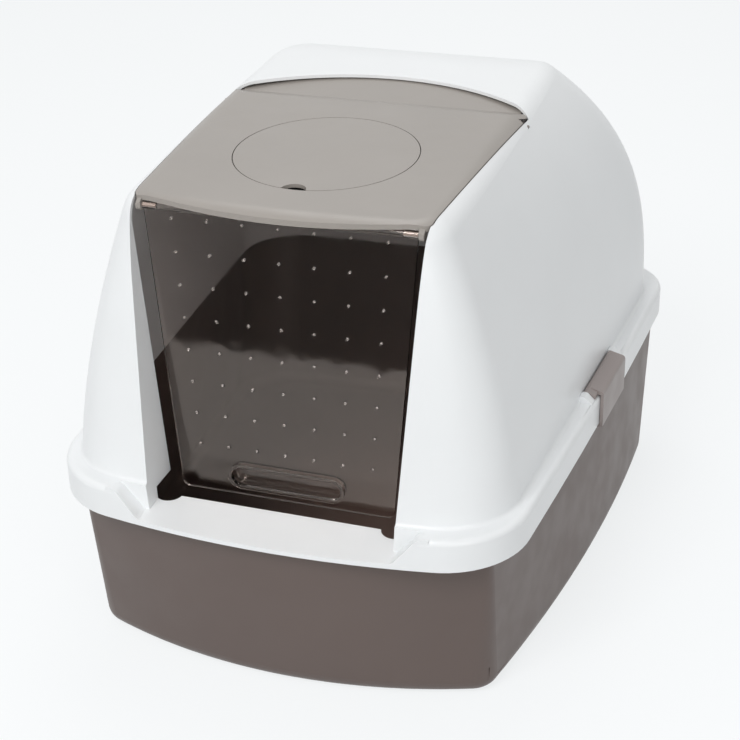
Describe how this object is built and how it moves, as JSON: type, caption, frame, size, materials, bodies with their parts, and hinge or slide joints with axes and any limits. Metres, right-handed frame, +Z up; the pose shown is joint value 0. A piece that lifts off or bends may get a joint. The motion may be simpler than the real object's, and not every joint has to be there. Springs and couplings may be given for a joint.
{
  "type": "covered litter box",
  "caption": "Covered litter box with a deep pan, a clipped-on hood, a hinged access panel with a filter lid, and a swinging see-through door.",
  "frame": {"origin": "on the floor under the middle of the box", "axes": "+X to the right as seen from the entry, +Y to the rear, away from the entry, +Z up"},
  "size_m": [0.4518, 0.5699, 0.4149],
  "materials": {
    "pan_plastic": "matte",
    "hood_plastic": "satin",
    "panel_plastic": "satin",
    "lid_plastic": "satin",
    "carbon_pad": "felt",
    "door_plastic": "smoked clear",
    "pin_plastic": "matte",
    "clip_plastic": "satin"
  },
  "bodies": {
    "base": {"pan": "pan_plastic", "hood": "hood_plastic", "panel_pin_left": "pin_plastic", "panel_pin_right": "pin_plastic", "latch_pin_left": "pin_plastic", "latch_pin_right": "pin_plastic"},
    "panel": {"access_panel": "panel_plastic", "filter_grille": "panel_plastic", "carbon_filter": "carbon_pad"},
    "lid": {"filter_lid": "lid_plastic"},
    "door": {"door": "door_plastic", "door_pin_left": "pin_plastic", "door_pin_right": "pin_plastic"},
    "clip_left": {"latch_left": "clip_plastic"},
    "clip_right": {"latch_right": "clip_plastic"}
  },
  "joints": [
    {"name": "panel_lift", "type": "hinge", "parent": "base", "child": "panel", "pos_m": [0, 0.014, 0.399], "axis": [-1, 0, 0], "range_deg": [0, 95]},
    {"name": "lid_lift_off", "type": "slide", "parent": "panel", "child": "lid", "axis": [0, -0.0401, 0.9992], "range_m": [0, 0.04]},
    {"name": "door_swing", "type": "hinge", "parent": "panel", "child": "door", "pos_m": [0, -0.21, 0.392], "axis": [-1, 0, 0], "range_deg": [-60, 75]},
    {"name": "clip_left_release", "type": "hinge", "parent": "base", "child": "clip_left", "pos_m": [-0.20483, 0.01769, 0.1744], "axis": [-0.0655, 0.9979, 0], "range_deg": [0, 100]},
    {"name": "clip_right_release", "type": "hinge", "parent": "base", "child": "clip_right", "pos_m": [0.20483, 0.01769, 0.1744], "axis": [-0.0655, -0.9979, 0], "range_deg": [0, 100]}
  ]
}
